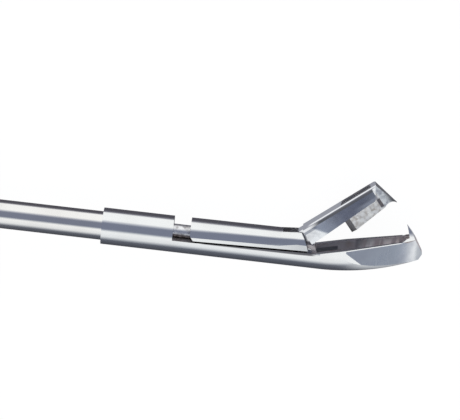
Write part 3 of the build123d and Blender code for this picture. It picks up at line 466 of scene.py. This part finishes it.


# Lower body: polished outside, ground side facets, a dull hollow with painted light and shade, and
# hinge ears
def body_steel():
    body = Finish("polished_steel", POLISHED, 0.10)
    tree = body.tree
    p, y, z, nx, ny, nz = body.places()
    side = math_node(tree, "ABSOLUTE", z)
    side_face = math_node(tree, "ABSOLUTE", nz)
    outward = math_node(tree, "MULTIPLY", nz, z)
    slant = math_node(tree, "ABSOLUTE", ny)
    level = without(tree, smooth(tree, slant, *FACET_FACING_UP))
    cut = times(
        tree,
        smooth(tree, nx, *FACET_FACING_AHEAD),
        smooth(tree, side_face, *FACET_FACING_SIDE),
        level,
        smooth(tree, outward, *OUTER_SIDE),
        smooth(tree, p, *FACET_STEP),
    )
    border_at = FACET_BORDER[0] + FACET_BORDER[1] * FACET_BORDER_SLOPE
    edge = math_node(tree, "SUBTRACT", body.along((1, FACET_BORDER_SLOPE, 0)), border_at)
    ground = smooth(tree, edge, *FACET_BORDER_STEP)
    facet = times(tree, cut, ground)
    body.lay(facet, (ramp(tree, p, FACET_TONES_WITH_NOSE_SHADING), *FACET))
    # behind the slanted border the side keeps its polish
    body.lean(times(tree, cut, without(tree, ground)), (SIDE_LEAN, 0, 0))
    # the facet rounds over to the nose
    turned = smooth(tree, nx, *NOSE_FACING_AHEAD)
    first_face = times(tree, facet, smooth(tree, p, *FIRST_FACE_END), without(tree, turned))
    body.lean(first_face, (FIRST_FACE_LEAN, 0, 0))
    roll = span(tree, p, *NOSE, *NOSE_LEAN)
    body.lean(times(tree, facet, turned, roll), (-1, 0, 0))
    # painted highlight: a bright line under the rim of the wall, a lighter colour with its surface
    # tilted towards a bright strip
    rim_at = RIM_START[1] - RIM_START[0] * RIM_RISE
    rim = math_node(tree, "SUBTRACT", body.along((-RIM_RISE, 1, 0)), rim_at)
    rim_highlight = times(
        tree,
        cut,
        smooth(tree, rim, *RIM_HIGHLIGHT_STEP),
        smooth(tree, p, *RIM_HIGHLIGHT_START),
        without(tree, smooth(tree, p, *RIM_HIGHLIGHT_END)),
    )
    body.lay(rim_highlight, RIM_HIGHLIGHT)
    body.lean(rim_highlight, (RIM_LEAN, 0, 0))
    # hollow between the walls: painted light and shade along it, darker under the rim and lighter
    # towards its floor
    below = without(tree, smooth(tree, rim, *HOLLOW_TOP))
    inward = without(tree, smooth(tree, outward, *INNER_SIDE))
    between = without(tree, smooth(tree, side, *HOLLOW_HALF))
    upward = times(tree, smooth(tree, ny, *HOLLOW_FACING_UP), between)
    inside = times(tree, below, either(tree, inward, upward), smooth(tree, p, *HOLLOW_STEP))
    depth = span(tree, rim, *HOLLOW_DEPTH, *HOLLOW_SHADES)
    shade = weigh(tree, smooth(tree, p, *HOLLOW_SHADE_STEP), 1.0, depth, "FLOAT")
    shaded = tree.nodes.new("ShaderNodeVectorMath")
    shaded.operation = "SCALE"
    tree.links.new(ramp(tree, p, HOLLOW_LIGHT_AND_SHADE), shaded.inputs[0])
    tree.links.new(shade, shaded.inputs["Scale"])
    body.lay(inside, (shaded.outputs[0], *HOLLOW))
    stripes = body.noise(STREAKS_SCALE, *STREAKS_SPREAD, STREAKS_STRETCH)
    body.lay(times(tree, inside, smooth(tree, p, *STREAKS_STEP), stripes), HOLLOW_STREAKS)
    # painted shade: the deep pocket at the back of the hollow is painted near black
    pocket_along = band(tree, p, *POCKET_PLACE)
    pocket = times(tree, inside, pocket_along, band(tree, rim, *POCKET_DEPTH))
    body.lay(pocket, POCKET_SHADE)
    body.dull(inside, 0.0)
    # shade along the seam under the slider, wider towards the hinge
    seam_at = -RAIL_START[1] + RAIL_START[0] * RAIL_RISE
    seam = math_node(tree, "ADD", body.along((-RAIL_RISE, 1, 0)), seam_at)
    wide = span(tree, p, *SEAM_SHADE_PLACE, *SEAM_SHADE_WIDTH)
    near = math_node(tree, "ADD", seam, wide)
    under = times(tree, smooth(tree, near, *SEAM_STEP), band(tree, p, *SEAM_PLACE))
    body.lay(under, SEAM_SHADE)
    # floor of the notch
    notch = times(
        tree,
        band(tree, p, *NOTCH_PLACE),
        smooth(tree, ny, *NOTCH_FACING_UP),
        smooth(tree, y, *NOTCH_FLOOR_LOW),
        without(tree, smooth(tree, y, *NOTCH_FLOOR_HIGH)),
    )
    body.lay(notch, NOTCH_FLOOR)
    # hinge ears
    ears = times(
        tree,
        band(tree, p, *EARS_PLACE),
        without(tree, smooth(tree, side, *EARS_HALF)),
        smooth(tree, y, *EARS_LOW),
    )
    body.lay(ears, EARS)
    return body.close()


# Slider: places and steps as above
HEEL_SLOT_STEP = (31.15, 31.25)
HEEL_SLOT_HALF = (1.22, 1.3)
FRONT_FACING_AHEAD = (0.45, 0.7)
REAR_FACING_AHEAD = (-0.7, -0.45)
UNDER_FACING_UP = (-0.7, -0.5)
LAPPED_PLACE = (15.5, 34.5)
LAPPED_FACING_UP = (0.60, 0.92)
LAPPED_LEAN = (0.08, 0.33)
SLOT_METAL = 0.4


# Slider: polished outside, painted shade on its ends and underside, and a dull slot
def slider_steel():
    slider = Finish("slider_steel", POLISHED, 0.10)
    tree = slider.tree
    p, _, z, nx, ny, _ = slider.places()
    side = math_node(tree, "ABSOLUTE", z)
    front = smooth(tree, nx, *FRONT_FACING_AHEAD)
    rear = without(tree, smooth(tree, nx, *REAR_FACING_AHEAD))
    between = without(tree, smooth(tree, side, *HEEL_SLOT_HALF))
    slot = times(tree, smooth(tree, p, *HEEL_SLOT_STEP), between)
    under = without(tree, smooth(tree, ny, *UNDER_FACING_UP))
    # painted shade: the slider's end faces and underside are painted near black
    slider.lay(either(tree, either(tree, front, rear), either(tree, slot, under)), SLIDER_END_AND_UNDER_SHADE)
    slider.lay(slot, SLIDER_SLOT)
    slider.dull(slot, SLOT_METAL)
    # lapped slightly flatter towards the seam, more so at the front
    lower = without(tree, smooth(tree, ny, *LAPPED_FACING_UP))
    amount = span(tree, p, *LAPPED_PLACE, *LAPPED_LEAN)
    slider.lean(times(tree, lower, amount), (0, -1, 0))
    return slider.close()


# Upper jaw: places and steps as above, but u runs along the open jaw from its pivot and v rises
# from its line
JAW_PIVOT = (36.0, 0.3)
JAW_TURN = math.radians(39.4)
JAW_ALONG = (math.cos(JAW_TURN), math.sin(JAW_TURN), 0)
JAW_UP = (-math.sin(JAW_TURN), math.cos(JAW_TURN), 0)
SIDE_FACING_SIDE = (0.92, 0.96)
WALL_SIDE = (1.9, 2.0)
WALL_FADE = (5.0, 5.9)
WALL_FADE_SLANT = 0.8
WALL_LEAN = 0.2
SHADOW_LOW = (2.75, 2.95)
SHADOW_END = (2.6, 4.2)
GLOW_HIGH = (2.0, 2.5)
GLOW_STEP = (10.0, 13.0)
PUNCH_STEP = (8.0, 8.2)
PUNCH_HALF = (1.6, 1.8)
PUNCH_REAR_HIGH = (2.7, 2.9)
PUNCH_REAR_STEP = (7.5, 7.9)
PUNCH_REAR_FACING_AHEAD = (-0.5, -0.3)
WALL_END_PLACE = (13.2, 15.2, 0.1)
WALL_END_FACING_AHEAD = (0.40, 0.46)
WALL_END_SIDE = (1.1, 1.3)
WALL_END_LOW = (1.5, 1.7)
WALL_END_HIGH = (3.28, 3.36)
CORNER_PLACE = (14.8, 15.45, 0.1)
CORNER_HEIGHT = (-0.1, 1.6, 0.15)
CORNER_SIDE = (1.2, 1.3)
PROW_STEP = (14.4, 14.6)
PROW_FACING_AHEAD = (0.4, 0.7, 0.05)
TIP_STEP = (15.0, 15.4)
TIP_FACING_AHEAD = (0.72, 0.85)
TIP_HALF = (0.35, 1.1)
TIP_HIGH = (1.2, 2.6)
BACK_LOW = (3.3, 3.36)
RIDGE_LOW = (3.6, 3.66)
RIDGE_SIDE = (0.70, 1.50, 0.06)
RIDGE_STEP = (1.2, 3.4)
RIDGE_LEAN = 0.6
CHAMFER_SIDE = (1.50, 1.58)
CHAMFER_START = (2.2, 4.6)
CHAMFER_END = (15.1, 15.4)
CHAMFER_TONE_STEP = (3.62, 3.68)
WINDOW_PLACE = (8.85, 15.05, 0.04)
WINDOW_HALF = (0.62, 0.68)
# where the painted shade by the window lies
WINDOW_SHADE_PLACE = (9.1, 14.8, 0.2)
WINDOW_SHADE_SIDE = (-1.85, -0.5, 0.1)
WINDOW_SHADE_LOW = (3.6, 3.65)
JAW_TONES = (
    (0.0, (0.96, 0.97, 0.98)),
    (4.0, (0.96, 0.98, 1.0)),
    (8.5, (0.46, 0.47, 0.53)),
    (13.0, (0.38, 0.39, 0.44)),
    (16.0, (0.60, 0.62, 0.64)),
)


# Upper jaw: bright back edges, dark walls and a mottled punch
def jaw_steel():
    jaw = Finish("jaw_steel", JAW, 0.12)
    tree = jaw.tree
    _, _, z, nx, _, nz = jaw.places()
    u = jaw.along(JAW_ALONG, JAW_PIVOT[0] * JAW_ALONG[0] + JAW_PIVOT[1] * JAW_ALONG[1])
    v = jaw.along(JAW_UP, JAW_PIVOT[0] * JAW_UP[0] + JAW_PIVOT[1] * JAW_UP[1])
    side = math_node(tree, "ABSOLUTE", z)
    side_face = smooth(tree, math_node(tree, "ABSOLUTE", nz), *SIDE_FACING_SIDE)
    wall = times(tree, side_face, smooth(tree, side, *WALL_SIDE))
    fade = smooth(tree, jaw.blend_of(u, v, WALL_FADE_SLANT), *WALL_FADE)
    jaw.lay(wall, (ramp(tree, u, JAW_TONES), *JAW_WALL))
    jaw.lean(times(tree, wall, fade), (JAW_UP[0] * WALL_LEAN, JAW_UP[1] * WALL_LEAN, 0))
    shadow_end = without(tree, smooth(tree, u, *SHADOW_END))
    jaw.lay(times(tree, wall, smooth(tree, v, *SHADOW_LOW), shadow_end), WALL_SHADOW)
    glow_top = without(tree, smooth(tree, v, *GLOW_HIGH))
    jaw.lay(times(tree, wall, glow_top, smooth(tree, u, *GLOW_STEP)), WALL_GLOW)
    punch_side = without(tree, smooth(tree, side, *PUNCH_HALF))
    jaw.lay(times(tree, side_face, punch_side, smooth(tree, u, *PUNCH_STEP)), PUNCH)
    # painted shade: the punch's rear face is painted near black
    rear = times(
        tree,
        without(tree, smooth(tree, nx, *PUNCH_REAR_FACING_AHEAD)),
        without(tree, smooth(tree, v, *PUNCH_REAR_HIGH)),
        smooth(tree, u, *PUNCH_REAR_STEP),
    )
    jaw.lay(rear, PUNCH_REAR_SHADE)
    # wall where it runs into the prow
    ahead = jaw.facing_along(JAW_ALONG)
    wall_end = times(
        tree,
        band(tree, u, *WALL_END_PLACE),
        smooth(tree, side, *WALL_END_SIDE),
        without(tree, smooth(tree, v, *WALL_END_HIGH)),
        without(tree, smooth(tree, ahead, *WALL_END_FACING_AHEAD)),
        without(tree, wall),
        smooth(tree, v, *WALL_END_LOW),
    )
    jaw.lay(wall_end, WALL_END)
    # shaded corner between punch and prow, the prow, and its thin dark front edge
    corner = times(
        tree,
        band(tree, u, *CORNER_PLACE),
        band(tree, v, *CORNER_HEIGHT),
        smooth(tree, side, *CORNER_SIDE),
    )
    jaw.lay(corner, PROW_CORNER)
    prow = times(tree, band(tree, ahead, *PROW_FACING_AHEAD), smooth(tree, u, *PROW_STEP))
    jaw.lay(prow, PROW)
    edge = times(tree, smooth(tree, ahead, *TIP_FACING_AHEAD), smooth(tree, u, *TIP_STEP))
    point = times(
        tree,
        prow,
        without(tree, smooth(tree, side, *TIP_HALF)),
        without(tree, smooth(tree, v, *TIP_HIGH)),
    )
    jaw.lay(either(tree, edge, point), PROW_TIP)
    # back: a painted highlight along the near side, the dark chamfer beside it, and painted shade by
    # the window
    back = smooth(tree, v, *BACK_LOW)
    # painted highlight: a lighter line along the near side of the back, with its surface tilted
    ridge = times(
        tree,
        smooth(tree, v, *RIDGE_LOW),
        band(tree, z, *RIDGE_SIDE),
        smooth(tree, u, *RIDGE_STEP),
    )
    jaw.lay(ridge, RIDGE_HIGHLIGHT)
    jaw.lean(ridge, (0, 0, RIDGE_LEAN))
    chamfer = times(
        tree,
        back,
        smooth(tree, z, *CHAMFER_SIDE),
        smooth(tree, u, *CHAMFER_START),
        without(tree, smooth(tree, u, *CHAMFER_END)),
    )
    chamfer_tone = weigh(tree, smooth(tree, v, *CHAMFER_TONE_STEP), CHAMFER_LOW, CHAMFER_HIGH)
    jaw.lay(chamfer, (chamfer_tone, *CHAMFER))
    window_side = without(tree, smooth(tree, side, *WINDOW_HALF))
    jaw.lay(times(tree, band(tree, u, *WINDOW_PLACE), window_side), WINDOW_WALL)
    # painted shade: a near-black band beside the window, on its far side
    window_shade = times(
        tree,
        band(tree, u, *WINDOW_SHADE_PLACE),
        band(tree, z, *WINDOW_SHADE_SIDE),
        smooth(tree, v, *WINDOW_SHADE_LOW),
    )
    jaw.lay(window_shade, WINDOW_SHADE)
    return jaw.close()


# Drive rod: mottled, with painted shade on its underside
ROD_FACING_UP = (-0.35, 0.15)


def rod_steel():
    rod = Finish("rod_steel", ROD, 0.3)
    tree = rod.tree
    _, _, _, _, ny, _ = rod.places()
    rod.lay(without(tree, smooth(tree, ny, *ROD_FACING_UP)), ROD_UNDERSIDE_SHADE)
    return rod.close()


FINISH = {
    "polished_steel": body_steel(),
    "jaw_steel": jaw_steel(),
    "slider_steel": slider_steel(),
    "rod_steel": rod_steel(),
}

# Materials with one look all over, each with the strength of its relief
PLAIN = {
    "tube_steel": (((0.88, 0.87, 0.86), WARM, 0.12, ALONG, 0.09, 0.16, 180.0), 0.10),
    "bush_steel": (((0.62, 0.61, 0.60), WARM, 0.20, ACROSS, 0.25, 0.40, 180.0), 0.2),
    "pin_steel": (((0.85, 0.86, 0.87), WARM, 0.08, ANYWAY, 0.14, 0.22, 180.0), 0.1),
    "handle_steel": (((0.80, 0.81, 0.82), WARM, 0.12, ANYWAY, 0.30, 0.42, 90.0), 0.25),
    "socket_steel": (((0.86, 0.87, 0.88), WARM, 0.08, ACROSS, 0.10, 0.18, 180.0), 0.1),
    "screw_steel": (((0.76, 0.76, 0.77), WARM, 0.15, ANYWAY, 0.20, 0.32, 180.0), 0.2),
    "spring_steel": (
        ((0.70, 0.71, 0.73), (0.40, 0.34, 0.28), 0.20, ANYWAY, 0.22, 0.34, 180.0),
        0.2,
    ),
}
for name, (look, bump) in PLAIN.items():
    FINISH[name] = Finish(name, look, bump).close()

slots = {s["node"]: s["material_slot"] for s in frame["record"]["subparts"]}
for name, piece in nodes.items():
    piece.data.materials.clear()
    piece.data.materials.append(FINISH[slots[name]])

# Leaf springs: each is copied into a new object with its placing baked in, and the original is
# hidden. For each: its own body, the other body, its foot and its tip
MIDDLE = SHAFT_Z * MM
FIXED_FOOT = (-0.0185, -0.0370, MIDDLE)
FIXED_TIP = (-0.0066, -0.0274, MIDDLE)
LEVER_FOOT = (0.00575, -0.0366, MIDDLE)
LEVER_TIP = (-0.00605, -0.0266, MIDDLE)
LEAVES = {
    "fixed_leaf_spring": ("shaft_and_handle", "lever", FIXED_FOOT, FIXED_TIP),
    "lever_leaf_spring": ("lever", "shaft_and_handle", LEVER_FOOT, LEVER_TIP),
}
for node, (own, other, foot, tip) in LEAVES.items():
    leaf = bpy.data.objects.new("bending_" + node, nodes[node].data.copy())
    leaf.matrix_world = nodes[node].matrix_world.copy()
    bpy.context.scene.collection.objects.link(leaf)
    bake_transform(leaf)
    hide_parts(node)

# Small broken edges on the machined pieces: their widths in metres
EDGE_ANGLE = math.radians(35)
EDGE = {
    "lower_jaw_body": 0.00006,
    "upper_jaw": 0.00005,
    "slider": 0.00006,
    "fixed_handle": 0.0005,
    "lever_handle": 0.0004,
    "shaft_socket": 0.00015,
    "outer_tube": 0.00004,
    "rod_end_block": 0.0001,
    "stop_lock_nut": 0.00015,
    "rod_lock_nut": 0.0001,
}
for name, width in EDGE.items():
    bevel = nodes[name].modifiers.new("edges", "BEVEL")
    bevel.width = width
    bevel.segments = 2
    bevel.limit_method = "ANGLE"
    bevel.angle_limit = EDGE_ANGLE
    bevel.harden_normals = False

# Floor: white paper that glows for the camera and keeps a faint share of the shadow
FLOOR_SIZE = 6.0
FLOOR_DROP = 0.0003
FLOOR_GLOW = 1.08
FLOOR_GLOW_SHARE = 0.88
bpy.ops.object.select_all(action="DESELECT")
bpy.ops.mesh.primitive_plane_add(size=FLOOR_SIZE, location=(0.1, 0, -FLOOR_DROP))
floor = bpy.context.object
floor.name = "floor"
floor_material, floor_tree, floor_shader = new_material("floor_paper")
floor_shader.inputs["Base Color"].default_value = (0.9, 0.9, 0.9, 1)
floor_shader.inputs["Roughness"].default_value = 0.9
floor_out = [n for n in floor_tree.nodes if n.type == "OUTPUT_MATERIAL"][0]
floor_glow = floor_tree.nodes.new("ShaderNodeEmission")
floor_glow.inputs["Color"].default_value = (1, 1, 1, 1)
floor_glow.inputs["Strength"].default_value = FLOOR_GLOW
floor_path = floor_tree.nodes.new("ShaderNodeLightPath")
floor_mix = floor_tree.nodes.new("ShaderNodeMixShader")
camera_ray = floor_path.outputs["Is Camera Ray"]
floor_share = math_node(floor_tree, "MULTIPLY", camera_ray, FLOOR_GLOW_SHARE)
floor_tree.links.new(floor_share, floor_mix.inputs["Fac"])
floor_tree.links.new(floor_shader.outputs["BSDF"], floor_mix.inputs[1])
floor_tree.links.new(floor_glow.outputs["Emission"], floor_mix.inputs[2])
floor_tree.links.new(floor_mix.outputs["Shader"], floor_out.inputs["Surface"])
floor.data.materials.append(floor_material)
floor.visible_glossy = False

# Studio surround: bright and dark strips that run along the shaft, softer towards both ends.
# Each strip is an angle around the shaft in degrees and a colour
DARK = (0.085, 0.083, 0.10)
GREY = (0.20, 0.22, 0.29)
WHITE = (1.02, 1.03, 1.02)
STRIPS = (
    (-180, DARK),
    (-120, (0.07, 0.075, 0.09)),
    (-78, (0.11, 0.12, 0.15)),
    (-68, (0.30, 0.32, 0.36)),
    (-50, (0.85, 0.87, 0.88)),
    (-16, WHITE),
    (-8, (0.55, 0.58, 0.62)),
    (-1, GREY),
    (38, GREY),
    (47, (0.50, 0.52, 0.58)),
    (58, WHITE),
    (112, WHITE),
    (121, (0.22, 0.22, 0.26)),
    (135, DARK),
    (180, DARK),
)
SLANT_STRIPS = (
    (-180, (0.36, 0.37, 0.41)),
    (-150, (0.40, 0.41, 0.44)),
    (-98, (0.50, 0.52, 0.55)),
    (-75, (0.80, 0.82, 0.83)),
    (-50, (0.85, 0.87, 0.88)),
    (-38, (0.60, 0.63, 0.68)),
    (-27, (0.27, 0.31, 0.41)),
    (-1, (0.20, 0.23, 0.30)),
    (38, GREY),
    (50, (0.50, 0.52, 0.58)),
    (62, WHITE),
    (112, WHITE),
    (125, (0.60, 0.60, 0.64)),
    (150, (0.32, 0.33, 0.38)),
    (180, (0.36, 0.37, 0.41)),
)
END_STRIPS = (
    (-180, (0.40, 0.41, 0.45)),
    (-60, (0.50, 0.52, 0.56)),
    (-26, (0.95, 0.97, 0.98)),
    (0, (0.42, 0.45, 0.50)),
    (30, (0.40, 0.43, 0.48)),
    (52, (0.95, 0.96, 0.97)),
    (110, (0.95, 0.96, 0.97)),
    (150, (0.45, 0.46, 0.50)),
    (180, (0.40, 0.41, 0.45)),
)
SLANT_STEP = (0.10, 0.20)
END_STEP = (0.38, 0.62)
world = bpy.data.worlds.new("studio")
bpy.context.scene.world = world
world.use_nodes = True
sky = world.node_tree
sky.nodes.clear()
sky_out = sky.nodes.new("ShaderNodeOutputWorld")
sky_glow = sky.nodes.new("ShaderNodeBackground")
sky_where = sky.nodes.new("ShaderNodeTexCoord")
sky_split = sky.nodes.new("ShaderNodeSeparateXYZ")
sky.links.new(sky_where.outputs["Generated"], sky_split.inputs[0])
sky_turn = math_node(sky, "ARCTAN2", sky_split.outputs["Y"], sky_split.outputs["Z"])
sky_degrees = math_node(sky, "MULTIPLY", sky_turn, 180 / math.pi)
sky_end = math_node(sky, "ABSOLUTE", sky_split.outputs["X"])
sky_along = ramp(sky, sky_degrees, STRIPS)
sky_slant = ramp(sky, sky_degrees, SLANT_STRIPS)
sky_ends = ramp(sky, sky_degrees, END_STRIPS)
sky_mixed = weigh(sky, smooth(sky, sky_end, *SLANT_STEP), sky_along, sky_slant)
sky_all = weigh(sky, smooth(sky, sky_end, *END_STEP), sky_mixed, sky_ends)
sky.links.new(sky_all, sky_glow.inputs["Color"])
sky_glow.inputs["Strength"].default_value = 1.0
sky.links.new(sky_glow.outputs["Background"], sky_out.inputs["Surface"])

# Camera at the photograph's angle, with the sleeve's rear end where the photograph shows it.
# DROP is the slope of the shaft in the picture, as the cosine and the sine of 6.6 degrees
PHOTO_SIZE = (460, 420)
PIXELS_PER_MM = 5.76
SLEEVE_SEEN = (102.55, 225.55)
VIEW_TILT = math.radians(19.0)
DROP = (0.9934, 0.1149)
LENS = 200.0
SENSOR = 36.0
NEAREST = 0.01
DISTANCE = PHOTO_SIZE[0] / PIXELS_PER_MM * LENS / SENSOR * MM
across = (PHOTO_SIZE[0] / 2 - SLEEVE_SEEN[0]) / PIXELS_PER_MM
down = (PHOTO_SIZE[1] / 2 - SLEEVE_SEEN[1]) / PIXELS_PER_MM
aim_p = across * DROP[0] + down * DROP[1]
aim_q = across * DROP[1] - down * DROP[0]
level_axis = Vector((1, 0, 0))
rise_axis = Vector((0, math.cos(VIEW_TILT), -math.sin(VIEW_TILT)))
back_axis = Vector((0, math.sin(VIEW_TILT), math.cos(VIEW_TILT)))
right_axis = level_axis * DROP[0] + rise_axis * DROP[1]
up_axis = rise_axis * DROP[0] - level_axis * DROP[1]
aim = Vector((SLEEVE_X, 0, SHAFT_Z)) * MM + (level_axis * aim_p + rise_axis * aim_q) * MM
bpy.ops.object.select_all(action="DESELECT")
bpy.ops.object.camera_add(location=aim + back_axis * DISTANCE)
camera = bpy.context.object
camera.data.lens = LENS
camera.data.sensor_width = SENSOR
camera.data.clip_start = NEAREST
camera.rotation_euler = Matrix((right_axis, up_axis, back_axis)).transposed().to_euler()
bpy.context.scene.camera = camera

bpy.context.scene.view_settings.view_transform = "Standard"
